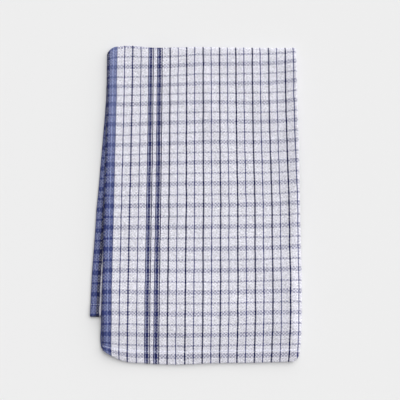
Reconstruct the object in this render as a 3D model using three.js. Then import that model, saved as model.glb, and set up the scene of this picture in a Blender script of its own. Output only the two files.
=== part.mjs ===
// A woven cotton tea towel, folded in half lengthwise and then in half crosswise, lying flat.
// Millimetres. X runs across the folded towel, Y along it, Z is up, and it rests on Z = 0.
// The first selvedge and the upper hem are the lower left corner of the top layer, the lengthwise fold
// is the right edge, and the crosswise fold is the far edge (+Y).
import * as THREE from "three";

const { clamp, degToRad, lerp, smoothstep } = THREE.MathUtils;

// ---- The cloth, flat ----
const FIRST_HALF = 239; // from the first selvedge to the lengthwise fold
const SECOND_HALF = 241; // from the fold to the second selvedge
const THICKNESS = 1.0;
const HEM_THICKNESS = 1.8; // the cloth turned in twice
const HEM_DEPTH = 15;
const HEM_STEP = 2; // the thickness changes over this length

// ---- How it lies ----
const LAYER_GAP = 1.0; // clear space between two layers
const HEM_Y = -194.6; // the upper hem
const NOSE_Y = 193.6; // the outermost line of the crosswise fold
const UNDER_HEM_Y = -140.2; // the hem of the under pair, short of the upper hem
const TURN_RADIUS = 2.3; // crosswise fold, at the middle of the pair
const TURN_SETTLE = 30; // the upper pair comes down from the fold over this length
const NOSE_WIDTH = 1.6; // lengthwise fold, how far the loop stands out past its two layers
const NOSE_SWELL = 0.5; // how much further apart than usual its two layers are, each side
const SWELL_REACH = 10;
const DROP_START = 2; // the upper pair starts to fall this far past the under pair
const DROP_REACH = 50; // and lies on the surface this far past its hem
const SIDE_DROP_REACH = 16; // or this far past its lengthwise fold
const EDGE_PUFF = 0.16; // share by which the stack stands taller along the lengthwise fold
const EDGE_PUFF_REACH = 22;

// The pair of layers on top: where its edges lie at each Y. "selvedge" is the top layer's,
// "lower" is the selvedge of the layer below it, "fold" is the lengthwise fold's nose, and "corner" is
// how far that nose is rounded off towards the hem.
const UPPER_PAIR = [
  { y: -194, selvedge: -109.2, lower: -109.8, fold: 124.2, corner: 10 },
  { y: -192, selvedge: -109.3, lower: -110.3, fold: 124.2, corner: 6.6 },
  { y: -189, selvedge: -109.4, lower: -111.1, fold: 124.4, corner: 4 },
  { y: -183, selvedge: -109.6, lower: -112.1, fold: 124.7, corner: 2.3 },
  { y: -167, selvedge: -109.9, lower: -112.8, fold: 125.2, corner: 0.6 },
  { y: -144, selvedge: -110.2, lower: -112.2, fold: 125.8, corner: 0 },
  { y: -96, selvedge: -110.6, lower: -111.6, fold: 126.8, corner: 0 },
  { y: -60, selvedge: -110.4, lower: -111.5, fold: 126.6, corner: 0 },
  { y: 0, selvedge: -110.2, lower: -111.6, fold: 126.1, corner: 0 },
  { y: 64, selvedge: -109.6, lower: -111.0, fold: 125.8, corner: 0 },
  { y: 128, selvedge: -109.9, lower: -111.2, fold: 125.1, corner: 0 },
  { y: 196, selvedge: -109.9, lower: -110.7, fold: 125.4, corner: 0 },
];
const FOLD_CORNER_REACH = 45; // the rounding fades over this much of the cloth back from the fold

// The under pair swings out to the left towards its hem. Here "selvedge" is the bottom layer's,
// which carries on from the top layer, and "lower" carries on from the layer below that.
const UNDER_PAIR = [
  { y: -140, selvedge: -123.9, lower: -125.6, fold: 110.6 },
  { y: -110, selvedge: -123.6, lower: -125.1, fold: 111.4 },
  { y: -86, selvedge: -122.7, lower: -124.3, fold: 112.2 },
  { y: -61, selvedge: -121.6, lower: -122.9, fold: 113.7 },
  { y: -36, selvedge: -120.4, lower: -121.6, fold: 115.2 },
  { y: -12, selvedge: -119.5, lower: -120.7, fold: 116.7 },
  { y: 14, selvedge: -117.6, lower: -118.7, fold: 118.4 },
  { y: 38, selvedge: -116.2, lower: -117.2, fold: 120.0 },
  { y: 64, selvedge: -114.7, lower: -115.5, fold: 121.6 },
  { y: 104, selvedge: -112.4, lower: -113.0, fold: 123.8 },
  { y: 128, selvedge: -111.2, lower: -111.7, fold: 124.6 },
  { y: 150, selvedge: -111.0, lower: -111.4, fold: 124.9 },
  { y: 196, selvedge: -111.2, lower: -111.6, fold: 125.2 },
];

// Corners that are drawn in from a square one. "pull" is how far at the selvedge, fading over
// "across" along the edge, and over "reach" of the cloth behind it.
const UPPER_HEM_CORNER = { pull: 12.8, across: 36, reach: 36 };
const LOWER_HEM_CORNER = { pull: 14.4, across: 36, reach: 36 };
const NOSE_CORNER = { pull: 6, across: 12, reach: 22 };
const CORNER_SPREAD = 2.7; // that reach is at least this many times the pull

// Where the hem and the crosswise fold stand out of a straight line, by "out" at "x", fading over "width".
const HEM_BULGES = [
  { x: -105, width: 28, out: -1.9 },
  { x: -24, width: 34, out: 2 },
  { x: 110, width: 30, out: -1.4 },
];
const NOSE_BULGES = [
  { x: -85, width: 18, out: 2.6 },
  { x: -40, width: 22, out: -0.3 },
  { x: -3, width: 32, out: 0.8 },
  { x: 112, width: 30, out: -0.6 },
];
const BULGE_REACH = 60; // a bulge fades over this length of cloth

// Soft ridges that lift the stack. "length" and "width" are where each has faded to a third, "turn"
// is its direction from +X in degrees, and "rise" is the share added to the height there.
const RIDGES = [
  { x: -62, y: 172, length: 42, width: 11, turn: 96, rise: 0.16 },
  { x: -22, y: 118, length: 70, width: 16, turn: 62, rise: 0.15 },
  { x: 78, y: 138, length: 60, width: 15, turn: 118, rise: 0.15 },
  { x: 30, y: 20, length: 95, width: 18, turn: 24, rise: 0.17 },
  { x: -70, y: -30, length: 60, width: 14, turn: 80, rise: 0.13 },
  { x: 74, y: -72, length: 70, width: 17, turn: 148, rise: 0.17 },
  { x: -34, y: -112, length: 62, width: 15, turn: 12, rise: 0.15 },
];

// Where the cloth is divided, in millimetres from an edge: each row adds "parts" equal steps up to "to".
const STEPS_ACROSS = [
  { to: 12, parts: 2 },
  { to: 40, parts: 2 },
  { to: 215, parts: 8 },
  { to: 236.5, parts: 3 },
];
const STEPS_ALONG_UPPER = [
  { to: HEM_DEPTH - HEM_STEP, parts: 1 },
  { to: HEM_DEPTH, parts: 1 },
  { to: 24, parts: 1 },
  { to: 64, parts: 5 },
  { to: 350, parts: 11 },
];
const STEPS_ALONG_UNDER = [
  { to: HEM_DEPTH - HEM_STEP, parts: 1 },
  { to: HEM_DEPTH, parts: 1 },
  { to: 300, parts: 11 },
];
const PARTS_TO_TURN = 3; // from the last of these steps to where the crosswise fold begins
const TURN_PARTS = 6;
const NOSE_PARTS = 6;

// ---- Sizes that follow ----
const PAIR_HEIGHT = 2 * THICKNESS + LAYER_GAP;
const TURN_CENTRE_Y = NOSE_Y - TURN_RADIUS - PAIR_HEIGHT / 2;
const TURN_LENGTH = Math.PI * TURN_RADIUS;
const UPPER_LENGTH = TURN_CENTRE_Y - HEM_Y;
const UNDER_LENGTH = TURN_CENTRE_Y - UNDER_HEM_Y;
const CLOTH_LENGTH = UPPER_LENGTH + TURN_LENGTH + UNDER_LENGTH;
const CLOTH_WIDTH = FIRST_HALF + SECOND_HALF;
const NOSE_HALF = (Math.PI / 2) * NOSE_WIDTH; // cloth in each half of the lengthwise fold's loop
const PROBE = 0.01; // step for the cloth's direction at a point
const SEATED = 0.02; // cloth this close to the surface lies flat on it

// A value from a table, between its rows.
function read(table, column, y) {
  const above = table.findIndex((row) => row.y >= y);
  if (above === 0) return table[0][column];
  if (above < 0) return table[table.length - 1][column];
  const low = table[above - 1];
  const high = table[above];
  return lerp(low[column], high[column], (y - low.y) / (high.y - low.y));
}

// Thickness at "v" along the cloth: a hem at each end.
function thickness(v) {
  const fromHem = Math.min(v, CLOTH_LENGTH - v);
  return lerp(HEM_THICKNESS, THICKNESS, smoothstep(fromHem, HEM_DEPTH - HEM_STEP, HEM_DEPTH));
}

// Height of two layers lying on each other at "v".
function pairHeight(v) {
  return 2 * thickness(v) + LAYER_GAP;
}

// How much further out each layer of a pair lies near the lengthwise fold, "flat" back from its loop.
function swell(flat) {
  return NOSE_SWELL * Math.exp(-Math.max(0, flat) / SWELL_REACH);
}

// How high the under pair carries the upper one at a place.
function support(x, y) {
  const pastFold = x - read(UNDER_PAIR, "fold", y);
  const inside = 1 - smoothstep(pastFold, DROP_START, SIDE_DROP_REACH);
  const behind = smoothstep(y, UNDER_HEM_Y - DROP_REACH, UNDER_HEM_Y - DROP_START);
  const underV = CLOTH_LENGTH - Math.max(0, y - UNDER_HEM_Y);
  return inside * behind * (pairHeight(underV) + 2 * swell(-pastFold) + LAYER_GAP);
}

// How much taller than its bare layers the stack stands at a place, as a share.
function loft(x, y) {
  const fromFold = read(UPPER_PAIR, "fold", y) - x;
  const away = Math.min(smoothstep(NOSE_Y - y, 0, TURN_SETTLE), smoothstep(y - HEM_Y, 0, TURN_SETTLE));
  const edge = EDGE_PUFF * (1 - smoothstep(fromFold, 0, EDGE_PUFF_REACH)) * away;
  return RIDGES.reduce((sum, ridge) => {
    const turn = degToRad(ridge.turn);
    const along = (x - ridge.x) * Math.cos(turn) + (y - ridge.y) * Math.sin(turn);
    const aside = (y - ridge.y) * Math.cos(turn) - (x - ridge.x) * Math.sin(turn);
    return sum + ridge.rise * Math.exp(-((along / ridge.length) ** 2) - (aside / ridge.width) ** 2);
  }, edge);
}

// How far an edge stands out at "x", and the cloth behind it "v" from that edge.
function bulge(table, x, v) {
  const out = table.reduce((sum, row) => sum + row.out * Math.exp(-(((x - row.x) / row.width) ** 2)), 0);
  return out * Math.max(0, 1 - v / BULGE_REACH) ** 2;
}

// How far a corner of the cloth is drawn in, "u" from its selvedge and "v" from its end.
function drawnIn(corner, u, v) {
  const pull = corner.pull * Math.max(0, 1 - u / corner.across) ** 2;
  const reach = Math.max(corner.reach, CORNER_SPREAD * pull);
  return pull * Math.max(0, 1 - v / reach) ** 2;
}

// The middle of the cloth at "u" across it from the first selvedge and "v" along it from the upper hem.
function middle(u, v) {
  const fromFold = u - FIRST_HALF;
  const first = fromFold < 0;
  const half = first ? FIRST_HALF : SECOND_HALF;
  const fromSelvedge = half - Math.abs(fromFold);
  const turned = clamp(fromFold / NOSE_HALF, -1, 1) * (Math.PI / 2);
  const flat = Math.max(0, Math.abs(fromFold) - NOSE_HALF);

  // Along: out on the upper pair, round the crosswise fold, and back on the under pair.
  const roll = clamp((v - UPPER_LENGTH) / TURN_RADIUS, 0, Math.PI);
  const onUpper = Math.max(0, UPPER_LENGTH - v);
  const onUnder = Math.max(0, v - UPPER_LENGTH - TURN_LENGTH);
  const straight = onUpper + onUnder;
  const hemCorner = first ? UPPER_HEM_CORNER : LOWER_HEM_CORNER;
  const level = TURN_CENTRE_Y - straight;
  const inwards = drawnIn(hemCorner, fromSelvedge, v) - drawnIn(NOSE_CORNER, fromSelvedge, straight);

  // Across: both pairs have the same section, a loop at the fold and two layers back from it.
  const share = smoothstep(roll, 0, Math.PI);
  const edge = first ? "selvedge" : "lower";
  const across = (column) =>
    lerp(read(UPPER_PAIR, column, level), read(UNDER_PAIR, column, level), onUnder > 0 ? 1 : share);
  const loop = across("fold") - NOSE_WIDTH - THICKNESS / 2;
  const rounding = read(UPPER_PAIR, "corner", level) * Math.max(0, 1 - flat / FOLD_CORNER_REACH) ** 2;
  const x = lerp(loop + NOSE_WIDTH * Math.cos(turned), across(edge), flat / (half - NOSE_HALF)) - rounding;
  const apart = (thickness(v) + LAYER_GAP) / 2 + swell(flat);
  const offset = -apart * Math.sin(turned); // above the middle of the pair on the first half

  const outwards = bulge(NOSE_BULGES, x, straight) - bulge(HEM_BULGES, x, v);
  const y = level + inwards + outwards + (TURN_RADIUS + offset) * Math.sin(roll);
  const floorLevel = pairHeight(v) / 2 + swell(flat);
  const foldLevel = floorLevel + 2 * TURN_RADIUS;
  const carried = floorLevel + support(x, y);
  const upperLevel = lerp(foldLevel, carried, smoothstep(onUpper, 0, TURN_SETTLE));
  const z =
    roll === 0
      ? upperLevel + offset
      : floorLevel + TURN_RADIUS + (TURN_RADIUS + offset) * Math.cos(roll);

  const lowest = thickness(v) / 2;
  return new THREE.Vector3(x, y, lowest + (z - lowest) * (1 + loft(x, y)));
}

// The side of the cloth that faces out: +1 for the outside of both folds, -1 for the inside.
function skin(u, v, side) {
  const du = middle(u + PROBE, v).sub(middle(u - PROBE, v));
  const dv = middle(u, v + PROBE).sub(middle(u, v - PROBE));
  const out = du.cross(dv).normalize();
  const point = middle(u, v).addScaledVector(out, (side * thickness(v)) / 2);
  point.z = point.z < SEATED ? 0 : point.z;
  return point;
}

// Places from a table of steps.
function places(steps) {
  const found = [0];
  for (const { to, parts } of steps) {
    const from = found[found.length - 1];
    for (let i = 1; i <= parts; i++) found.push(lerp(from, to, i / parts));
  }
  return found;
}

// Even steps between two places, without the ends.
function between(from, to, parts) {
  return Array.from({ length: parts - 1 }, (_, i) => lerp(from, to, (i + 1) / parts));
}

function columns() {
  const first = places(STEPS_ACROSS);
  const nose = between(FIRST_HALF - NOSE_HALF, FIRST_HALF + NOSE_HALF, NOSE_PARTS);
  const second = places(STEPS_ACROSS).map((u) => CLOTH_WIDTH - u);
  return [...first, ...nose, ...second.reverse()];
}

function rows() {
  const upper = places([...STEPS_ALONG_UPPER, { to: UPPER_LENGTH, parts: PARTS_TO_TURN }]);
  const turn = between(UPPER_LENGTH, UPPER_LENGTH + TURN_LENGTH, TURN_PARTS);
  const under = places([...STEPS_ALONG_UNDER, { to: UNDER_LENGTH, parts: PARTS_TO_TURN }]);
  return [...upper, ...turn, ...under.map((v) => CLOTH_LENGTH - v).reverse()];
}

// One closed shell: an outer and an inner skin, joined round the four edges.
function clothGeometry() {
  const us = columns();
  const vs = rows();
  const points = [];
  for (const side of [1, -1]) for (const v of vs) for (const u of us) points.push(skin(u, v, side));
  const at = (side, row, column) => (side * vs.length + row) * us.length + column;

  const faces = [];
  const quad = (a, b, c, d) => faces.push(a, b, c, a, c, d);
  for (let row = 1; row < vs.length; row++) {
    for (let column = 1; column < us.length; column++) {
      const corners = (side) => [
        at(side, row - 1, column - 1),
        at(side, row - 1, column),
        at(side, row, column),
        at(side, row, column - 1),
      ];
      quad(...corners(0));
      quad(...corners(1).reverse());
    }
  }
  const rim = (rowA, columnA, rowB, columnB) =>
    quad(at(1, rowA, columnA), at(1, rowB, columnB), at(0, rowB, columnB), at(0, rowA, columnA));
  const lastRow = vs.length - 1;
  const lastColumn = us.length - 1;
  for (let column = 1; column < us.length; column++) {
    rim(0, column - 1, 0, column);
    rim(lastRow, column, lastRow, column - 1);
  }
  for (let row = 1; row < vs.length; row++) {
    rim(row, 0, row - 1, 0);
    rim(row - 1, lastColumn, row, lastColumn);
  }
  const geometry = new THREE.BufferGeometry().setFromPoints(points);
  geometry.setIndex(faces);
  geometry.computeVertexNormals();
  return geometry;
}

const wovenCotton = new THREE.MeshStandardMaterial({ color: "#dfe0ea", roughness: 0.92, metalness: 0 });

const towel = new THREE.Mesh(clothGeometry(), wovenCotton);
towel.name = "tea_towel";

const part = new THREE.Group();
part.add(towel);

export default part;
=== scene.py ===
"""A woven cotton tea towel, folded in half lengthwise and then crosswise, lying flat.

Lengths are written in millimetres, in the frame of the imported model, and turned to metres in the mesh.
"u" runs across the cloth from its first selvedge, "v" along it from the hem of the top layer.
"""
import math

import bpy
import numpy as np
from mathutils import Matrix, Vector


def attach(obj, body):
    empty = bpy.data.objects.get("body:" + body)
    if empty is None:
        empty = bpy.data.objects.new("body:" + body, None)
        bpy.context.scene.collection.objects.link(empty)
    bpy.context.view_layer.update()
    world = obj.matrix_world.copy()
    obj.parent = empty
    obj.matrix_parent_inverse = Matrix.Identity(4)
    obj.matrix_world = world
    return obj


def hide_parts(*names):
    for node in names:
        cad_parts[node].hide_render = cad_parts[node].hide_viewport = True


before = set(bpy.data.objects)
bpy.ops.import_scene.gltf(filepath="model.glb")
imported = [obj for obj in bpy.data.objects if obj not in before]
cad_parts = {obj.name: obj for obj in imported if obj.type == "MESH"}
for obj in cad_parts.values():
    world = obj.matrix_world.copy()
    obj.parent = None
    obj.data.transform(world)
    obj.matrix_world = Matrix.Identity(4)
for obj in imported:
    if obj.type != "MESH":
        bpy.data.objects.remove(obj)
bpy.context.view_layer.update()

MM = 0.001
NODE = "tea_towel"

# ---- The cloth, flat ----
FIRST_HALF = 239.0  # from the first selvedge to the lengthwise fold
SECOND_HALF = 241.0  # from the fold to the second selvedge
SHEET = 0.7  # thickness of the woven sheet
HEM = 1.4  # the sheet turned in twice
HEM_DEPTH = 15.0
HEM_STEP = 1.6
SEAM_GROOVE = {"from_end": 13.6, "width": 1.3, "depth": 0.5}  # where the stitches pull the hem thin

# ---- How it lies, as the solid does ----
LAYER_GAP = 1.6
HEM_Y = -194.6
NOSE_Y = 193.6
UNDER_HEM_Y = -140.2
TURN_RADIUS = 2.3
TURN_SETTLE = 30.0
NOSE_WIDTH = 1.6
NOSE_SWELL = 0.5
SWELL_REACH = 10.0
DROP_START = 2.0
DROP_REACH = 50.0
SIDE_DROP_REACH = 16.0
EDGE_PUFF = 0.3
EDGE_PUFF_REACH = 27.0

# Edges of the pair of layers on top, at each Y: "selvedge" is the top layer's, "lower" that of the layer
# below it, "fold" is the nose of the lengthwise fold. "corner" is how far that nose is rounded off towards
# the hem, with little of the cloth behind it.
UPPER_PAIR = {
    "y": (-194, -192, -189, -183, -167, -144, -96, -60, 0, 64, 128, 196),
    "selvedge": (
        *(-109.2, -109.3, -109.4, -109.6, -109.9, -110.2),
        *(-110.6, -110.4, -110.2, -109.6, -109.9, -109.9),
    ),
    "lower": (
        *(-109.8, -110.3, -111.1, -112.1, -112.8, -112.2),
        *(-111.6, -111.5, -111.6, -111.0, -111.2, -110.7),
    ),
    "fold": (124.2, 124.2, 124.4, 124.7, 125.2, 125.8, 126.8, 126.6, 126.1, 125.8, 125.1, 125.4),
    "corner": (10.0, 6.6, 4.0, 2.3, 0.6, 0, 0, 0, 0, 0, 0, 0),
}
FOLD_CORNER_REACH = 45.0
# The under pair swings out to the left. "selvedge" carries on from the top layer, so it lies at the bottom.
UNDER_PAIR = {
    "y": (-140, -110, -86, -61, -36, -12, 14, 38, 64, 104, 128, 150, 196),
    "selvedge": (
        *(-123.9, -123.6, -122.7, -121.6, -120.4, -119.5, -117.6),
        *(-116.2, -114.7, -112.4, -111.2, -111.0, -111.2),
    ),
    "lower": (
        *(-125.6, -125.1, -124.3, -122.9, -121.6, -120.7, -118.7),
        *(-117.2, -115.5, -113.0, -111.7, -111.4, -111.6),
    ),
    "fold": (110.6, 111.4, 112.2, 113.7, 115.2, 116.7, 118.4, 120.0, 121.6, 123.8, 124.6, 124.9, 125.2),
}

# Corners drawn in from a square one, bulges along the two ends, and soft ridges that lift the stack.
UPPER_HEM_CORNER = {"pull": 12.8, "across": 36.0, "reach": 36.0}
LOWER_HEM_CORNER = {"pull": 14.4, "across": 36.0, "reach": 36.0}
NOSE_CORNER = {"pull": 6.0, "across": 10.0, "reach": 22.0}
CORNER_SPREAD = 2.7
HEM_BULGES = (
    {"x": -105, "width": 28, "out": -1.9},
    {"x": -24, "width": 34, "out": 2.0},
    {"x": 110, "width": 30, "out": -1.4},
)
NOSE_BULGES = (
    {"x": -85, "width": 18, "out": 2.6},
    {"x": -40, "width": 22, "out": -0.3},
    {"x": -3, "width": 32, "out": 0.8},
    {"x": 112, "width": 30, "out": -0.6},
)
BULGE_REACH = 60.0
RIDGES = (
    {"x": -62, "y": 172, "length": 42, "width": 11, "turn": 96, "rise": 0.16},
    {"x": -22, "y": 118, "length": 70, "width": 16, "turn": 62, "rise": 0.15},
    {"x": 78, "y": 138, "length": 60, "width": 15, "turn": 118, "rise": 0.15},
    {"x": 30, "y": 20, "length": 95, "width": 18, "turn": 24, "rise": 0.17},
    {"x": -70, "y": -30, "length": 60, "width": 14, "turn": 80, "rise": 0.13},
    {"x": 74, "y": -72, "length": 70, "width": 17, "turn": 148, "rise": 0.17},
    {"x": -34, "y": -112, "length": 62, "width": 15, "turn": 12, "rise": 0.15},
)

# ---- Fine creases, as shares of the height they lift, and the slack of the free edges ----
CRINKLES = (
    {"wave": 38.0, "share": 0.035, "seed": 11},
    {"wave": 15.0, "share": 0.018, "seed": 12},
)
CREASES = (
    {"x": 17, "y": 122, "length": 72, "width": 10, "turn": 103, "rise": 0.19},
    {"x": 63, "y": -129, "length": 30, "width": 6, "turn": 13, "rise": 0.06},
    {"x": -101, "y": 60, "length": 45, "width": 8, "turn": 92, "rise": 0.07},
    {"x": 38, "y": -168, "length": 30, "width": 7, "turn": 20, "rise": 0.06},
)
# "stretch" draws ripples out away from the hem: the less it is, the longer they run.
HEM_PUCKER = {"wave": 17.0, "share": 0.07, "reach": 26.0, "seed": 21, "stretch": 0.2}
SELVEDGE_SAG = {"share": 0.42, "reach": 3.6}  # the stacked edges press down to the table
HEM_SAG = {"share": 0.4, "reach": 7.0}
DROP_ROUNDNESS = 0.45  # 0 falls at an even slope, 1 in a soft S
BRIDGE = {"near x": 62, "width": 34, "near": 9.0, "far": 46.0}  # the top layers ramp up to the hem below them
DROP_WAVER = {"wave": 46.0, "far": 11.0, "seed": 31, "stretch": 0.3}  # they fall past that hem unevenly
SELVEDGE_LIFTS = (  # places where the top layer's selvedge stands clear of the layer below
    {"v": 60, "length": 26, "rise": 0.5},
    {"v": 168, "length": 40, "rise": 0.8},
    {"v": 300, "length": 34, "rise": 0.5},
)
LIFT_REACH = 16.0

# ---- Mesh: u and v spans, each divided into equal parts up to "to" ----
COLUMNS = ((0.0, 0), (3.0, 3), (16.0, 7), (228.0, 70), (236.4, 5))  # up to the nose of the lengthwise fold
NOSE_COLUMNS = 8
ROWS_FROM_HEM = ((0.0, 0), (12.6, 7), (15.8, 5), (60.0, 16))
ROW_STEP = 3.0
TURN_ROWS = 10

# ---- Sizes that follow ----
PAIR_HEIGHT = 2 * SHEET + LAYER_GAP
TURN_CENTRE_Y = NOSE_Y - TURN_RADIUS - PAIR_HEIGHT / 2
TURN_LENGTH = math.pi * TURN_RADIUS
UPPER_LENGTH = TURN_CENTRE_Y - HEM_Y
UNDER_LENGTH = TURN_CENTRE_Y - UNDER_HEM_Y
CLOTH_LENGTH = UPPER_LENGTH + TURN_LENGTH + UNDER_LENGTH
CLOTH_WIDTH = FIRST_HALF + SECOND_HALF
NOSE_HALF = math.pi / 2 * NOSE_WIDTH
PROBE = 0.02  # a short step for finding which way the cloth faces
# Ripples are a sum of waves in several directions, whose turns and lengths vary by these much.
RIPPLE = {"directions": 7, "turn": 0.2, "shortest": 0.75, "longest": 1.5, "height": 3.5}


def ease(x, low, high):
    """0 below low, 1 above high, smooth between."""
    t = np.clip((x - low) / (high - low), 0, 1)
    return t * t * (3 - 2 * t)


def fading(x, reach):
    """1 at 0, falling smoothly to 0 at reach."""
    return np.maximum(0, 1 - x / reach) ** 2


def read(table, column, y):
    return np.interp(y, table["y"], table[column])


def waves(u, v, wave, seed):
    """Uneven ripples of about that wavelength, between -1 and 1."""
    draw = np.random.default_rng(seed)
    total = np.zeros_like(u)
    for turn in np.linspace(0, math.pi, RIPPLE["directions"], endpoint=False):
        turn = turn + draw.uniform(-RIPPLE["turn"], RIPPLE["turn"])
        length = wave * draw.uniform(RIPPLE["shortest"], RIPPLE["longest"])
        phase = draw.uniform(0, 2 * math.pi)
        total += np.sin(2 * math.pi * (u * math.cos(turn) + v * math.sin(turn)) / length + phase)
    return total / RIPPLE["height"]


def thickness(v):
    from_end = np.minimum(v, CLOTH_LENGTH - v)
    hem = HEM + (SHEET - HEM) * ease(from_end, HEM_DEPTH - HEM_STEP, HEM_DEPTH)
    seam = np.exp(-(((from_end - SEAM_GROOVE["from_end"]) / SEAM_GROOVE["width"]) ** 2))
    return hem - SEAM_GROOVE["depth"] * seam


def layer_thickness(v):
    """What a layer takes up in the stack, its seam's groove left out."""
    from_end = np.minimum(v, CLOTH_LENGTH - v)
    return HEM + (SHEET - HEM) * ease(from_end, HEM_DEPTH - HEM_STEP, HEM_DEPTH)


def pair_height(v):
    return 2 * layer_thickness(v) + LAYER_GAP


def swell(flat):
    return NOSE_SWELL * np.exp(-np.maximum(0, flat) / SWELL_REACH)


def support(x, y):
    """How high the under pair carries the upper one."""
    past_fold = x - read(UNDER_PAIR, "fold", y)
    inside = 1 - ease(past_fold, DROP_START, SIDE_DROP_REACH)
    waver = waves(x, y * DROP_WAVER["stretch"], DROP_WAVER["wave"], DROP_WAVER["seed"])
    late = DROP_WAVER["far"] * (1 + waver) / 2
    ends = (UNDER_HEM_Y - DROP_REACH, UNDER_HEM_Y - DROP_START)
    even = np.clip((y + late - ends[0]) / (ends[1] - ends[0]), 0, 1)
    behind = even + (ease(y + late, *ends) - even) * DROP_ROUNDNESS
    near = np.exp(-(((x - BRIDGE["near x"]) / BRIDGE["width"]) ** 2))
    bridge = BRIDGE["far"] + (BRIDGE["near"] - BRIDGE["far"]) * near
    carried = HEM + (SHEET - HEM) * ease(y - UNDER_HEM_Y, HEM_DEPTH, HEM_DEPTH + bridge)
    return inside * behind * (2 * carried + LAYER_GAP + 2 * swell(-past_fold) + LAYER_GAP)


def loft(x, y):
    """How much taller than its bare layers the stack stands, as a share."""
    from_fold = read(UPPER_PAIR, "fold", y) - x
    away = np.minimum(ease(NOSE_Y - y, 0, TURN_SETTLE), ease(y - HEM_Y, 0, TURN_SETTLE))
    return EDGE_PUFF * (1 - ease(from_fold, 0, EDGE_PUFF_REACH)) * away + ridges(RIDGES, x, y)


def ridges(table, x, y):
    """The share added to the height by a table of ridges."""
    total = 0
    for ridge in table:
        turn = math.radians(ridge["turn"])
        along = (x - ridge["x"]) * math.cos(turn) + (y - ridge["y"]) * math.sin(turn)
        aside = (y - ridge["y"]) * math.cos(turn) - (x - ridge["x"]) * math.sin(turn)
        shape = np.exp(-((along / ridge["length"]) ** 2) - (aside / ridge["width"]) ** 2)
        total = total + ridge["rise"] * shape
    return total


def creases(x, y):
    """Fine uneven lift, as a share of the height."""
    total = sum(row["share"] * waves(x, y, row["wave"], row["seed"]) for row in CRINKLES)
    total += ridges(CREASES, x, y)
    pucker = waves(x, y * HEM_PUCKER["stretch"], HEM_PUCKER["wave"], HEM_PUCKER["seed"])
    return total + HEM_PUCKER["share"] * pucker * fading(np.maximum(0, y - HEM_Y), HEM_PUCKER["reach"])


def sag(x, y):
    """How much of its height the stack loses along the selvedges' side and along the hem."""
    sides = ("selvedge", "lower")
    edges = [read(UPPER_PAIR, name, y) for name in sides]
    edges += [np.where(y > UNDER_HEM_Y, read(UNDER_PAIR, name, y), edges[0]) for name in sides]
    from_edge = np.maximum(0, x - np.minimum.reduce(edges))
    beside = SELVEDGE_SAG["share"] * np.exp(-((from_edge / SELVEDGE_SAG["reach"]) ** 2))
    from_hem = np.maximum(0, y - HEM_Y)
    behind = HEM_SAG["share"] * np.exp(-((from_hem / HEM_SAG["reach"]) ** 2))
    return np.maximum(beside, behind)


def bulge(table, x, v):
    out = sum(row["out"] * np.exp(-(((x - row["x"]) / row["width"]) ** 2)) for row in table)
    return out * fading(v, BULGE_REACH)


def drawn_in(pull, across, reach, u, v):
    pull = pull * fading(u, across)
    return pull * fading(v, np.maximum(reach, CORNER_SPREAD * pull))


def rounding(flat, level):
    """How far the cloth is drawn in where the hem's end of the lengthwise fold is rounded off."""
    return read(UPPER_PAIR, "corner", level) * fading(flat, FOLD_CORNER_REACH)


def middle(u, v):
    """The middle of the cloth at u across it and v along it: an array of places."""
    from_fold = u - FIRST_HALF
    first = from_fold < 0
    half = np.where(first, FIRST_HALF, SECOND_HALF)
    from_selvedge = half - np.abs(from_fold)
    turned = np.clip(from_fold / NOSE_HALF, -1, 1) * math.pi / 2
    flat = np.maximum(0, np.abs(from_fold) - NOSE_HALF)

    roll = np.clip((v - UPPER_LENGTH) / TURN_RADIUS, 0, math.pi)
    on_upper = np.maximum(0, UPPER_LENGTH - v)
    on_under = np.maximum(0, v - UPPER_LENGTH - TURN_LENGTH)
    straight = on_upper + on_under
    level = TURN_CENTRE_Y - straight
    corner = np.where(
        first,
        drawn_in(**UPPER_HEM_CORNER, u=from_selvedge, v=v),
        drawn_in(**LOWER_HEM_CORNER, u=from_selvedge, v=v),
    )
    inwards = corner - drawn_in(**NOSE_CORNER, u=from_selvedge, v=straight)

    share = np.where(on_under > 0, 1.0, ease(roll, 0, math.pi))

    def across(column):
        upper = read(UPPER_PAIR, column, level)
        return upper + (read(UNDER_PAIR, column, level) - upper) * share

    edge = np.where(first, across("selvedge"), across("lower"))
    loop = across("fold") - NOSE_WIDTH - SHEET / 2
    rounded = loop + NOSE_WIDTH * np.cos(turned)
    x = rounded + (edge - rounded) * flat / (half - NOSE_HALF)
    x = x - rounding(flat, level)
    offset = -((layer_thickness(v) + LAYER_GAP) / 2 + swell(flat)) * np.sin(turned)

    outwards = bulge(NOSE_BULGES, x, straight) - bulge(HEM_BULGES, x, v)
    y = level + inwards + outwards + (TURN_RADIUS + offset) * np.sin(roll)
    floor_level = pair_height(v) / 2 + swell(flat)
    fold_level = floor_level + 2 * TURN_RADIUS
    carried = floor_level + support(x, y)
    upper_level = fold_level + (carried - fold_level) * ease(on_upper, 0, TURN_SETTLE)
    z = np.where(
        roll == 0,
        upper_level + offset,
        floor_level + TURN_RADIUS + (TURN_RADIUS + offset) * np.cos(roll),
    )
    lowest = layer_thickness(v) / 2
    z = lowest + (z - lowest) * (1 + loft(x, y) + creases(x, y)) * (1 - sag(x, y))
    for lift in SELVEDGE_LIFTS:
        along = np.exp(-(((v - lift["v"]) / lift["length"]) ** 2))
        z += lift["rise"] * along * np.where(first, fading(from_selvedge, LIFT_REACH), 0)
    return np.stack([x, y, z], axis=-1)


def facing(u, v):
    """The direction that the outside of the cloth faces."""
    du = middle(u + PROBE, v) - middle(u - PROBE, v)
    dv = middle(u, v + PROBE) - middle(u, v - PROBE)
    out = np.cross(du, dv)
    return out / np.linalg.norm(out, axis=-1, keepdims=True)


def cloth_surface(u, v, side):
    """Places on the outside (side 1) or the inside (side -1) of the cloth."""
    places = middle(u, v) + facing(u, v) * (side * thickness(v) / 2)[..., None]
    places[..., 2] = np.maximum(places[..., 2], 0)
    return places


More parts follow.
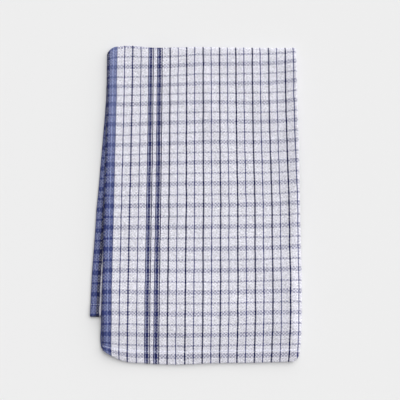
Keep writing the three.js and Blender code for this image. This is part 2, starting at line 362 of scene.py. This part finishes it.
def divided(spans):
    """Places along a line, from (to, parts) rows."""
    found = [spans[0][0]]
    for to, parts in spans[1:]:
        found.extend(np.linspace(found[-1], to, parts + 1)[1:])
    return np.array(found)


def column_places():
    edge = divided(COLUMNS)
    nose = np.linspace(FIRST_HALF - NOSE_HALF, FIRST_HALF + NOSE_HALF, NOSE_COLUMNS + 1)
    return np.concatenate([edge, nose, (CLOTH_WIDTH - edge)[::-1]])


def row_places():
    hem = divided(ROWS_FROM_HEM)
    upper = np.linspace(hem[-1], UPPER_LENGTH, round((UPPER_LENGTH - hem[-1]) / ROW_STEP) + 1)[1:]
    turn = np.linspace(UPPER_LENGTH, UPPER_LENGTH + TURN_LENGTH, TURN_ROWS + 1)[1:-1]
    under = np.linspace(hem[-1], UNDER_LENGTH, round((UNDER_LENGTH - hem[-1]) / ROW_STEP) + 1)[1:]
    return np.concatenate([hem, upper, turn, (CLOTH_LENGTH - np.concatenate([hem, under]))[::-1]])


# ---- Where the woven pattern lies ----
HALF_REPEAT = 243.0  # the stripes mirror about this place, just past the lengthwise fold
# How far the threads have moved from straight on the top layer, in millimetres: picks along the cloth, ends
# across it. A row is a place along the layer, and the columns are places across it.
DRIFT_X = {"selvedge": -104.0, "left": -84.0, "border": -52.0, "middle": 12.0, "right": 85.0, "fold": 120.0}
PICK_DRIFT = (
    {"y": 188, "selvedge": -2.6, "left": -2.6, "border": -1.6, "middle": 1.3, "right": 2.8, "fold": 5.7},
    {"y": 150, "selvedge": -2.1, "left": -2.1, "border": -0.7, "middle": 2.3, "right": 2.9, "fold": 5.4},
    {"y": 123, "selvedge": 1.1, "left": 1.1, "border": 2.1, "middle": 3.9, "right": 3.2, "fold": 5.7},
    {"y": 98, "selvedge": 1.3, "left": 1.3, "border": 2.5, "middle": 4.9, "right": 4.7, "fold": 6.0},
    {"y": 72, "selvedge": 0.6, "left": 0.6, "border": 1.9, "middle": 4.4, "right": 4.2, "fold": 6.2},
    {"y": 46, "selvedge": 2.0, "left": 2.0, "border": 3.1, "middle": 4.8, "right": 4.9, "fold": 6.4},
    {"y": 7, "selvedge": 2.1, "left": 2.1, "border": 2.6, "middle": 3.2, "right": 4.1, "fold": 5.9},
    {"y": -32, "selvedge": 1.1, "left": 1.1, "border": 1.2, "middle": 1.8, "right": 2.9, "fold": 4.3},
    {"y": -71, "selvedge": 0.2, "left": 0.2, "border": -0.2, "middle": 0.1, "right": 1.3, "fold": 2.9},
    {"y": -110, "selvedge": 0.3, "left": 0.3, "border": -0.1, "middle": -0.5, "right": 1.1, "fold": 1.9},
    {"y": -149, "selvedge": 1.4, "left": 1.4, "border": 0.2, "middle": -0.2, "right": 2.0, "fold": 2.6},
    {"y": -188, "selvedge": 3.3, "left": 3.3, "border": 3.2, "middle": 3.4, "right": 3.2, "fold": 3.6},
)
END_DRIFT = (
    {"y": 190, "selvedge": -0.2, "left": 0.0, "border": 0.2, "middle": 0.8, "right": 0.8, "fold": 1.4},
    {"y": 127, "selvedge": -0.2, "left": 0.1, "border": 0.2, "middle": 1.0, "right": 0.8, "fold": 1.1},
    {"y": 65, "selvedge": -0.9, "left": -0.7, "border": -0.2, "middle": 0.4, "right": 0.7, "fold": 0.9},
    {"y": -6, "selvedge": -0.8, "left": -0.7, "border": -0.3, "middle": 1.0, "right": 1.7, "fold": 1.9},
    {"y": -55, "selvedge": -1.1, "left": -0.9, "border": -0.7, "middle": 0.2, "right": 0.9, "fold": 1.1},
    {"y": -145, "selvedge": -1.1, "left": -1.0, "border": -0.9, "middle": -0.0, "right": 0.8, "fold": 1.1},
    {"y": -184, "selvedge": -1.7, "left": -1.7, "border": -1.4, "middle": -0.3, "right": 0.2, "fold": 0.4},
)
DRIFT_FADE = 80.0  # past the crosswise fold the threads run straight again over this length
WANDER = {"wave": 21.0, "far": 0.16, "seeds": (41, 42)}  # how far a line strays by itself


def drift(table, x, y):
    rows = sorted(table, key=lambda row: row["y"])
    heights = [row["y"] for row in rows]
    names = list(DRIFT_X)
    columns = {name: np.interp(y, heights, [row[name] for row in rows]) for name in names}
    total = columns[names[0]]
    for before, after in zip(names, names[1:]):
        share = np.clip((x - DRIFT_X[before]) / (DRIFT_X[after] - DRIFT_X[before]), 0, 1)
        total = total + (columns[after] - columns[before]) * share
    return total


def pattern_place(u, v):
    """Pattern coordinates of the cloth at u, v, in millimetres."""
    places = middle(u, v)
    fade = fading(np.maximum(0, v - UPPER_LENGTH), DRIFT_FADE)
    far_half = HALF_REPEAT * 2 - FIRST_HALF
    across = np.where(u < FIRST_HALF, u, FIRST_HALF + (u - FIRST_HALF) * far_half / SECOND_HALF)
    moved = [drift(table, places[..., 0], places[..., 1]) * fade for table in (END_DRIFT, PICK_DRIFT)]
    moved[0] = moved[0] * np.where(u < FIRST_HALF, 1, fading(u - FIRST_HALF, DRIFT_FADE))
    moved[0] = moved[0] + rounding(np.maximum(0, np.abs(u - FIRST_HALF) - NOSE_HALF), HEM_Y + v)
    wander = [WANDER["far"] * waves(u, v, WANDER["wave"], seed) for seed in WANDER["seeds"]]
    return across - moved[0] + wander[0], v - moved[1] + wander[1]


BAKE_SPAN = 740.0  # the bake map's square holds this many millimetres of cloth
BAKE_MARGIN = 4.0
RIM_WIDTH = 1.0  # an edge's own faces take this much of both maps


def towel_mesh():
    """One closed sheet: an outside skin, an inside skin, and their rim, with the cloth's two maps."""
    us, vs = column_places(), row_places()
    u, v = np.meshgrid(us, vs)
    skins = [cloth_surface(u, v, side) for side in (1, -1)]
    vertices = np.concatenate([skin.reshape(-1, 3) for skin in skins]) * MM
    count = u.size
    number = np.arange(count).reshape(u.shape)
    corners = [number[:-1, :-1], number[:-1, 1:], number[1:, 1:], number[1:, :-1]]
    outside = np.stack(corners, -1).reshape(-1, 4)
    inside = outside[:, ::-1] + count

    def rim(line):
        return np.stack([line[:-1] + count, line[1:] + count, line[1:], line[:-1]], -1)

    rims = [rim(number[0]), rim(number[:, -1]), rim(number[-1, ::-1]), rim(number[::-1, 0])]
    faces = np.concatenate([outside, inside, *rims])

    mesh = bpy.data.meshes.new("cloth")
    mesh.from_pydata(vertices.tolist(), [], faces.tolist())
    pattern = np.stack(pattern_place(u, v), -1).reshape(-1, 2)
    plain = np.stack([u, v], -1).reshape(-1, 2)
    outwards = np.zeros((count, 2))
    outwards[number[:, 0], 0] = -RIM_WIDTH
    outwards[number[:, -1], 0] = RIM_WIDTH
    outwards[number[0], 1] = -RIM_WIDTH
    outwards[number[-1], 1] = RIM_WIDTH

    corner = np.zeros(len(mesh.loops), dtype=np.int32)
    mesh.loops.foreach_get("vertex_index", corner)
    on_rim = np.arange(len(corner)) >= (len(outside) + len(inside)) * 4
    shift = np.where((on_rim & (corner >= count))[:, None], outwards[corner % count], 0)
    maps = {
        "cloth": (pattern[corner % count] + shift) * MM,
        "OFBake": (plain[corner % count] + shift + BAKE_MARGIN) / BAKE_SPAN,
    }
    for name, places in maps.items():
        layer = mesh.uv_layers.new(name=name)
        layer.data.foreach_set("uv", places.astype(np.float32).ravel())
    mesh.polygons.foreach_set("use_smooth", [True] * len(mesh.polygons))
    mesh.update()
    return mesh


# ---- Materials ----
# The check: from the first stripe on, thick and thin stripes of warp take turns, and so do those of weft.
STRIPE_STEP = 10.33
FIRST_STRIPE = 78.4
THICK_ENDS, THIN_ENDS = 3, 2
PICK_STEP = 25.55 / 2
FIRST_THICK_PICKS = 5.75  # from the hem of the top layer
THICK_PICKS, THIN_PICKS = 9, 4
END_PITCH = STRIPE_STEP / 16  # one warp thread, in millimetres
PICK_PITCH = PICK_STEP / 21  # one weft thread
POINT_REPEAT = 6  # threads in a repeat of the point twill
BROAD_STRIPE = (
    {"ends": 2, "yarn": "blue navy"},
    # The single white end is painted greyer: partly hidden by its navy neighbours, partly painted shade from
    # them.
    {"ends": 1, "yarn": "half hidden shaded white"},
    {"ends": 5, "yarn": "blue navy"},
    {"ends": 1, "yarn": "white"},
    {"ends": 2, "yarn": "navy"},
)
# How the border is warped, from the selvedge in: how many ends of each yarn lie next to one another.
BORDER = (
    # The two edge ends are painted deep navy: partly denser yarn at the edge, partly painted shade where the
    # edge curves away.
    {"ends": 2, "yarn": "deep navy"},
    {"ends": 3, "yarn": "deep denim"},
    {"ends": 5, "yarn": "denim"},
    {"ends": 2, "yarn": "pale denim"},
    {"ends": 5, "yarn": "denim"},
    {"ends": 2, "yarn": "deep denim"},
    {"ends": 13, "yarn": "white"},
    {"ends": 2, "yarn": "dusty navy"},
    {"ends": 13, "yarn": "white"},
    {"ends": 3, "yarn": "blue navy"},
    {"ends": 14, "yarn": "white"},
    {"ends": 2, "yarn": "dusty navy"},
    {"ends": 13, "yarn": "white"},
    *BROAD_STRIPE,
    {"ends": 6, "yarn": "white"},
    *BROAD_STRIPE,
    {"ends": 7, "yarn": "white"},
)
BAND_ROWS = 6  # rows of the border that make its solid band
BAND_ENDS = sum(row["ends"] for row in BORDER[:BAND_ROWS])
FAR_BAND = (  # the solid band along the second selvedge, which is narrower
    {"ends": 1, "yarn": "deep denim"},
    {"ends": 5, "yarn": "denim"},
    {"ends": 1, "yarn": "pale denim"},
    {"ends": 5, "yarn": "denim"},
    {"ends": 5, "yarn": "deep navy"},
)
YARNS = {
    "white": "#ebeaf1",
    "weft white": "#d8d8e4",
    # A single white end is painted greyer: partly half hidden by the navy ends beside it, partly painted
    # shade from them.
    "half hidden shaded white": "#b4b8d4",  # a single white end, half hidden by the navy ones beside it
    "navy": "#181c4a",
    "blue navy": "#272d62",
    "dusty navy": "#353b72",
    "deep navy": "#1d2145",
    "deep denim": "#333d72",
    "denim": "#4b568b",
    "pale denim": "#808cbb",
    "weft navy": "#1d2378",
}
THREAD = {"shaded": "#b9c1e0", "bright": "#e6e9f6", "fibre": 1.1}  # the sewing thread
# Multiplying by the yarn below lets its colour show, and also paints shade on the weft floats, which lie
# lower.
SHOW_THROUGH_AND_SHADE = {"warp up": 0.2, "weft up": 0.62}  # how far the yarn below darkens the one on top
# How much lighter one end, one pick, one patch or one crossing may be than another.
TONE = {"end": 0.16, "pick": 0.16, "mottle": 0.8, "crossing": 1.4}
MOTTLE_SIZE = 2.0  # patches of slacker and tighter weave
# Relief that the light shows: a thread's own roundness, and the patches' against it.
RELIEF = {"depth": 0.16, "strength": 0.5, "round": 3.0, "patches": 2.5}
# Inside its dark edge the first selvedge's band is painted paler towards the crosswise fold: painted light,
# where the band takes more light by the fold.
PAINTED_BAND_LIGHT = {"from": 170.0, "to": 385.0, "first end": 4, "last end": 18, "share": 0.15, "colour": "#c8d4fb"}
# Sockets of a Mix node: its factor, its two colours and their mixture, and its two plain numbers.
FACTOR, COLOUR_A, COLOUR_B, MIXED = 0, 6, 7, 2
NUMBER_A, NUMBER_B = 2, 3
OBJECT_PLACE = 3  # the socket of Texture Coordinate that gives places on the object


def linear(code):
    """An sRGB hex colour as linear values."""
    parts = [int(code[i : i + 2], 16) / 255 for i in (1, 3, 5)]
    return [c / 12.92 if c <= 0.04045 else ((c + 0.055) / 1.055) ** 2.4 for c in parts] + [1.0]


def add(tree, kind, inputs=(), out=0, **settings):
    """A node with its settings, and values or links at its inputs. It gives back one of its outputs."""
    made = tree.nodes.new(kind)
    for name, value in settings.items():
        setattr(made, name, value)
    for key, value in inputs.items() if isinstance(inputs, dict) else enumerate(inputs):
        if isinstance(value, bpy.types.NodeSocket):
            tree.links.new(value, made.inputs[key])
        else:
            made.inputs[key].default_value = value
    return made.outputs[out] if made.outputs else made


def new_material(name):
    material = bpy.data.materials.new(name)
    material.use_nodes = True
    material.node_tree.nodes.clear()
    return material, material.node_tree


def thread_counts(tree):
    """Which warp end and which weft pick a place is on, and how far across that thread it lies."""
    place = add(tree, "ShaderNodeSeparateXYZ", [add(tree, "ShaderNodeUVMap", uv_map="cloth")]).node.outputs
    found = {}
    for name, along, pitch in (("end", place[0], END_PITCH), ("pick", place[1], PICK_PITCH)):
        counted = add(tree, "ShaderNodeMath", (along, pitch * MM), operation="DIVIDE")
        found[name] = add(tree, "ShaderNodeMath", [counted], operation="FLOOR")
        found[name + " share"] = add(tree, "ShaderNodeMath", [counted], operation="FRACT")
    return found


def point_twill(tree, threads):
    """1 where the weft is on top: a threading and a treadling that both run to a point and back."""
    drafts = [
        add(tree, "ShaderNodeMath", (threads[name], POINT_REPEAT / 2), operation="PINGPONG")
        for name in ("end", "pick")
    ]
    shed = add(tree, "ShaderNodeMath", drafts, operation="ADD")
    return add(tree, "ShaderNodeMath", (shed, POINT_REPEAT / 2, 0.5), operation="COMPARE")


def warp_yarn(tree, end):
    """The colour of each warp end, by its distance from the nearer selvedge."""
    middle_of_end = add(tree, "ShaderNodeMath", (end, END_PITCH, END_PITCH / 2), operation="MULTIPLY_ADD")
    from_middle = add(tree, "ShaderNodeMath", (middle_of_end, HALF_REPEAT), operation="SUBTRACT")
    from_middle = add(tree, "ShaderNodeMath", [from_middle], operation="ABSOLUTE")
    from_selvedge = add(tree, "ShaderNodeMath", (HALF_REPEAT, from_middle), operation="SUBTRACT")

    border_span = sum(row["ends"] for row in BORDER) * END_PITCH
    share = add(tree, "ShaderNodeMath", (from_selvedge, border_span), operation="DIVIDE")
    far_border = FAR_BAND + ({"ends": BAND_ENDS - sum(row["ends"] for row in FAR_BAND), "yarn": "white"},)
    far_border += BORDER[BAND_ROWS:]
    borders = []
    for rows in (BORDER, far_border):
        border = add(tree, "ShaderNodeValToRGB", [share])
        ramp = border.node.color_ramp
        ramp.interpolation = "CONSTANT"
        for row in rows[2:]:
            ramp.elements.new(1.0)
        start = 0
        for element, row in zip(list(ramp.elements), rows):
            element.position = start * END_PITCH / border_span
            element.color = linear(YARNS[row["yarn"]])
            start += row["ends"]
        borders.append(border)
    on_far = add(tree, "ShaderNodeMath", (middle_of_end, HALF_REPEAT), operation="GREATER_THAN")
    colours = {FACTOR: on_far, COLOUR_A: borders[0], COLOUR_B: borders[1]}
    border = add(tree, "ShaderNodeMix", colours, out=MIXED, data_type="RGBA")

    from_first = add(tree, "ShaderNodeMath", (from_selvedge, FIRST_STRIPE), operation="SUBTRACT")
    turn = add(tree, "ShaderNodeMath", (from_first, STRIPE_STEP), operation="PINGPONG")
    on_thick = add(tree, "ShaderNodeMath", (turn, THICK_ENDS * END_PITCH / 2), operation="LESS_THAN")
    thin_edge = STRIPE_STEP - THIN_ENDS * END_PITCH / 2
    on_thin = add(tree, "ShaderNodeMath", (turn, thin_edge), operation="GREATER_THAN")
    field = linear(YARNS["white"])
    for mask, yarn in ((on_thick, "navy"), (on_thin, "dusty navy")):
        colours = {FACTOR: mask, COLOUR_A: field, COLOUR_B: linear(YARNS[yarn])}
        field = add(tree, "ShaderNodeMix", colours, out=MIXED, data_type="RGBA")
    in_field = add(tree, "ShaderNodeMath", (share, 1.0), operation="GREATER_THAN")
    colours = {FACTOR: in_field, COLOUR_A: border, COLOUR_B: field}
    return add(tree, "ShaderNodeMix", colours, out=MIXED, data_type="RGBA")


def weft_yarn(tree, pick):
    middle_of_pick = add(tree, "ShaderNodeMath", (pick, PICK_PITCH, PICK_PITCH / 2), operation="MULTIPLY_ADD")
    from_first = add(tree, "ShaderNodeMath", (middle_of_pick, FIRST_THICK_PICKS), operation="SUBTRACT")
    turn = add(tree, "ShaderNodeMath", (from_first, PICK_STEP), operation="PINGPONG")
    on_thick = add(tree, "ShaderNodeMath", (turn, THICK_PICKS * PICK_PITCH / 2), operation="LESS_THAN")
    thin_edge = PICK_STEP - THIN_PICKS * PICK_PITCH / 2
    on_thin = add(tree, "ShaderNodeMath", (turn, thin_edge), operation="GREATER_THAN")
    stripes = add(tree, "ShaderNodeMath", (on_thick, on_thin), operation="MAXIMUM")
    colours = {
        FACTOR: stripes,
        COLOUR_A: linear(YARNS["weft white"]),
        COLOUR_B: linear(YARNS["weft navy"]),
    }
    return add(tree, "ShaderNodeMix", colours, out=MIXED, data_type="RGBA")


def woven_cotton():
    """Carded cotton yarn in a small point twill, seven crossings in ten with the warp on top.

    It gives the eye a matt white ground, mottled by small diamonds, under solid navy lines along the cloth
    and broken, paler ones across it, with a streaky denim-blue band along each selvedge.
    """
    material, tree = new_material("woven cotton")
    threads = thread_counts(tree)
    weft_up = point_twill(tree, threads)
    warp, weft = warp_yarn(tree, threads["end"]), weft_yarn(tree, threads["pick"])
    layers = []
    for when_warp, when_weft in ((warp, weft), (weft, warp)):
        colours = {FACTOR: weft_up, COLOUR_A: when_warp, COLOUR_B: when_weft}
        layers.append(add(tree, "ShaderNodeMix", colours, out=MIXED, data_type="RGBA"))
    on_top, below = layers
    # The yarn on top is multiplied by the one below: partly that yarn's colour, partly painted shade on the
    # lower weft floats.
    through_and_shade = add(
        tree,
        "ShaderNodeMapRange",
        {"Value": weft_up, "To Min": SHOW_THROUGH_AND_SHADE["warp up"], "To Max": SHOW_THROUGH_AND_SHADE["weft up"]},
    )
    shades = {FACTOR: through_and_shade, COLOUR_A: on_top, COLOUR_B: below}
    yarn = add(tree, "ShaderNodeMix", shades, out=MIXED, data_type="RGBA", blend_type="MULTIPLY")

    cloth = add(tree, "ShaderNodeUVMap", uv_map="cloth")
    # Painted light: the first selvedge's band is lightened towards the crosswise fold.
    along = add(tree, "ShaderNodeSeparateXYZ", [cloth], out=1)
    span = {"From Min": PAINTED_BAND_LIGHT["from"] * MM, "From Max": PAINTED_BAND_LIGHT["to"] * MM, "To Max": PAINTED_BAND_LIGHT["share"]}
    painted_light = add(tree, "ShaderNodeMapRange", {"Value": along, **span})
    centre = (PAINTED_BAND_LIGHT["first end"] + PAINTED_BAND_LIGHT["last end"]) / 2
    half = (PAINTED_BAND_LIGHT["last end"] - PAINTED_BAND_LIGHT["first end"]) / 2
    on_band = add(tree, "ShaderNodeMath", (threads["end"], centre, half), operation="COMPARE")
    painted_light = add(tree, "ShaderNodeMath", (painted_light, on_band), operation="MULTIPLY")
    shades = {FACTOR: painted_light, COLOUR_A: yarn, COLOUR_B: linear(PAINTED_BAND_LIGHT["colour"])}
    yarn = add(tree, "ShaderNodeMix", shades, out=MIXED, data_type="RGBA")

    # No two threads take the light quite alike, and the cloth is a little uneven all over.
    tone = 1.0
    for name, amount in (("end", TONE["end"]), ("pick", TONE["pick"])):
        noise = add(tree, "ShaderNodeTexWhiteNoise", {"W": threads[name]}, noise_dimensions="1D")
        tone = add(tree, "ShaderNodeMath", (noise, amount, tone), operation="MULTIPLY_ADD")
    patches = {"Vector": cloth, "Scale": 1 / (MOTTLE_SIZE * MM), "Detail": 1.0}
    mottle = add(tree, "ShaderNodeTexNoise", patches)
    tone = add(tree, "ShaderNodeMath", (mottle, TONE["mottle"], tone), operation="MULTIPLY_ADD")
    crossing = add(tree, "ShaderNodeCombineXYZ", (threads["end"], threads["pick"], 0.0))
    fleck = add(tree, "ShaderNodeTexWhiteNoise", {"Vector": crossing}, noise_dimensions="3D")
    tone = add(tree, "ShaderNodeMath", (fleck, TONE["crossing"], tone), operation="MULTIPLY_ADD")
    level = 1.0 + sum(TONE.values()) / 2
    tone = add(tree, "ShaderNodeMath", (tone, level), operation="DIVIDE")
    grey = add(tree, "ShaderNodeCombineColor", (tone, tone, tone))
    yarn = add(
        tree,
        "ShaderNodeMix",
        {FACTOR: 1.0, COLOUR_A: yarn, COLOUR_B: grey},
        out=MIXED,
        data_type="RGBA",
        blend_type="MULTIPLY",
        clamp_result=True,
    )

    # Each thread is round, and the cloth between them puckers.
    rounds = []
    for name in ("end share", "pick share"):
        hill = add(tree, "ShaderNodeMath", (threads[name], 0.5), operation="SUBTRACT")
        hill = add(tree, "ShaderNodeMath", (hill, hill), operation="MULTIPLY")
        rounds.append(add(tree, "ShaderNodeMath", (hill, -RELIEF["round"], 1.0), operation="MULTIPLY_ADD"))
    height = add(tree, "ShaderNodeMix", {FACTOR: weft_up, NUMBER_A: rounds[0], NUMBER_B: rounds[1]})
    height = add(tree, "ShaderNodeMath", (mottle, RELIEF["patches"], height), operation="MULTIPLY_ADD")
    relief = {"Strength": RELIEF["strength"], "Distance": RELIEF["depth"] * MM, "Height": height}
    bump = add(tree, "ShaderNodeBump", relief)
    shader = add(
        tree,
        "ShaderNodeBsdfPrincipled",
        {
            "Base Color": yarn,
            "Roughness": 0.92,
            "Specular IOR Level": 0.25,
            "Sheen Weight": 0.1,
            "Sheen Roughness": 0.5,
            "Normal": bump,
        },
    )
    add(tree, "ShaderNodeOutputMaterial", [shader])
    return material


def sewing_thread():
    """Spun polyester sewing thread: a little smoother and brighter than the cotton it lies on."""
    material, tree = new_material("spun sewing thread")
    place = add(tree, "ShaderNodeTexCoord", out=OBJECT_PLACE)
    streaks = {"Vector": place, "Scale": 1 / (THREAD["fibre"] * MM), "Detail": 2.0}
    fibre = add(tree, "ShaderNodeTexNoise", streaks)
    colours = {FACTOR: fibre, COLOUR_A: linear(THREAD["shaded"]), COLOUR_B: linear(THREAD["bright"])}
    colour = add(tree, "ShaderNodeMix", colours, out=MIXED, data_type="RGBA")
    shader = add(
        tree,
        "ShaderNodeBsdfPrincipled",
        {"Base Color": colour, "Roughness": 0.6, "Sheen Weight": 0.1},
    )
    add(tree, "ShaderNodeOutputMaterial", [shader])
    return material


def pale_floor():
    """A matt painted table top: one pale even tone, so that only the soft shadow shows on it."""
    material, tree = new_material("matt painted surface")
    shader = add(
        tree,
        "ShaderNodeBsdfPrincipled",
        {"Base Color": linear("#ececec"), "Roughness": 0.95, "Specular IOR Level": 0.1},
    )
    add(tree, "ShaderNodeOutputMaterial", [shader])
    return material


# ---- Hem stitches ----
STITCH = {"Pitch": 3.1, "Length": 2.6, "Width": 0.5}
STITCH_SEED = 5
STITCH_FROM_EDGE = 1.2
STITCH_TILT = math.radians(5)


def stitch_tree():
    """Geometry Nodes: one sewn stitch at every pitch along each line of the input."""
    tree = bpy.data.node_groups.new("hem stitches", "GeometryNodeTree")
    sockets = (
        ("Geometry", "INPUT", "NodeSocketGeometry"),
        ("Pitch", "INPUT", "NodeSocketFloat"),
        ("Length", "INPUT", "NodeSocketFloat"),
        ("Width", "INPUT", "NodeSocketFloat"),
        ("Seed", "INPUT", "NodeSocketInt"),
        ("Thread", "INPUT", "NodeSocketMaterial"),
        ("Geometry", "OUTPUT", "NodeSocketGeometry"),
    )
    for name, in_out, kind in sockets:
        tree.interface.new_socket(name, in_out=in_out, socket_type=kind)
    given = add(tree, "NodeGroupInput").node.outputs
    line = add(tree, "GeometryNodeMeshToCurve", {"Mesh": given["Geometry"]})
    line = add(
        tree,
        "GeometryNodeResampleCurve",
        {"Curve": line, "Length": given["Pitch"]},
        mode="LENGTH",
    )
    ball = add(tree, "GeometryNodeMeshUVSphere", {"Segments": 8, "Rings": 6, "Radius": 0.5})  # 1 across
    size = add(
        tree,
        "ShaderNodeCombineXYZ",
        (given["Length"], given["Width"], given["Width"]),
    )
    stitch = add(tree, "GeometryNodeTransform", {"Geometry": ball, "Scale": size})
    tangent = add(tree, "GeometryNodeInputTangent")
    along = add(tree, "FunctionNodeAlignRotationToVector", {"Vector": tangent}, axis="X")
    tilt = add(
        tree,
        "FunctionNodeRandomValue",
        {"Min": (0, 0, -STITCH_TILT), "Max": (0, 0, STITCH_TILT), "Seed": given["Seed"]},
        data_type="FLOAT_VECTOR",
    )
    tilted = add(
        tree,
        "FunctionNodeRotateRotation",
        {0: along, 1: add(tree, "FunctionNodeEulerToRotation", [tilt])},
    )
    placed = add(
        tree,
        "GeometryNodeInstanceOnPoints",
        {"Points": line, "Instance": stitch, "Rotation": tilted},
    )
    real = add(tree, "GeometryNodeRealizeInstances", [placed])
    smooth = add(tree, "GeometryNodeSetShadeSmooth", {"Geometry": real})
    dressed = add(tree, "GeometryNodeSetMaterial", {"Geometry": smooth, "Material": given["Thread"]})
    add(tree, "NodeGroupOutput", [dressed])
    return tree


def hem_stitches(thread):
    """A row of stitches along each hem, on the outside of the cloth, in the groove that they pull."""
    u = np.arange(STITCH_FROM_EDGE, CLOTH_WIDTH - STITCH_FROM_EDGE, STITCH["Pitch"] / 2)
    lines = []
    for seam in (SEAM_GROOVE["from_end"], CLOTH_LENGTH - SEAM_GROOVE["from_end"]):
        lines.append(cloth_surface(u, np.full_like(u, seam), 1) * MM)
    edges = [(i, i + 1) for i in range(2 * len(u) - 1) if i != len(u) - 1]
    mesh = bpy.data.meshes.new("hem stitches")
    mesh.from_pydata(np.concatenate(lines).tolist(), edges, [])
    piece = new_object("hem_stitches", mesh)
    modifier = piece.modifiers.new("stitches", "NODES")
    modifier.node_group = stitch_tree()
    values = {name: size * MM for name, size in STITCH.items()} | {"Seed": STITCH_SEED, "Thread": thread}
    for socket in modifier.node_group.interface.items_tree:
        if socket.in_out == "INPUT" and socket.name in values:
            modifier[socket.identifier] = values[socket.name]
    evaluated = piece.evaluated_get(bpy.context.evaluated_depsgraph_get())
    sewn = bpy.data.meshes.new_from_object(evaluated)
    piece.modifiers.clear()
    piece.data = sewn
    return piece


def new_object(name, mesh, *materials):
    made = bpy.data.objects.new(name, mesh)
    bpy.context.scene.collection.objects.link(made)
    for material in materials:
        mesh.materials.append(material)
    return made


# ---- Stage ----
LOOK_AT = np.array([5.05, 0.4, 0.0])
CAMERA_DISTANCE = 1018.0
CAMERA_TILT = math.radians(10)  # from straight down, towards -Y
SENSOR_WIDTH = 36.0
FOCAL_LENGTH = 75.15
FLOOR_HALF = 3.0  # in metres


def make_camera():
    data = bpy.data.cameras.new("camera")
    data.lens = FOCAL_LENGTH
    data.sensor_width = SENSOR_WIDTH
    data.clip_start = 0.05
    camera = bpy.data.objects.new("camera", data)
    bpy.context.scene.collection.objects.link(camera)
    away = np.array([0.0, -math.sin(CAMERA_TILT), math.cos(CAMERA_TILT)])
    camera.location = ((LOOK_AT + away * CAMERA_DISTANCE) * MM).tolist()
    camera.rotation_euler = (CAMERA_TILT, 0.0, 0.0)
    bpy.context.scene.camera = camera


SKY = 0.475  # even light from all round
# A very large soft source to the upper right: its direction, the angle it fills, and its strength.
KEY = {"towards": (0.54, 0.64, 0.54), "spread": 100, "strength": 3.05}


def make_key_light():
    data = bpy.data.lights.new("soft key", "SUN")
    data.angle = math.radians(KEY["spread"])
    data.energy = KEY["strength"]
    light = bpy.data.objects.new("soft key", data)
    bpy.context.scene.collection.objects.link(light)
    light.rotation_euler = Vector(KEY["towards"]).to_track_quat("Z", "Y").to_euler()


def make_stage():
    half = FLOOR_HALF
    corners = [(-half, -half, 0), (half, -half, 0), (half, half, 0), (-half, half, 0)]
    mesh = bpy.data.meshes.new("floor")
    mesh.from_pydata(corners, [], [(0, 1, 2, 3)])
    new_object("floor", mesh, pale_floor())
    world = bpy.data.worlds.new("studio")
    bpy.context.scene.world = world
    world.use_nodes = True
    sky = world.node_tree.nodes["Background"].inputs
    sky["Color"].default_value = (1, 1, 1, 1)
    sky["Strength"].default_value = SKY
    make_key_light()
    bpy.context.scene.view_settings.view_transform = "Standard"


make_camera()
make_stage()
towel = new_object("towel", towel_mesh(), woven_cotton())
stitches = hem_stitches(sewing_thread())
for piece in (towel, stitches):
    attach(piece, "root")
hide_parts(NODE)
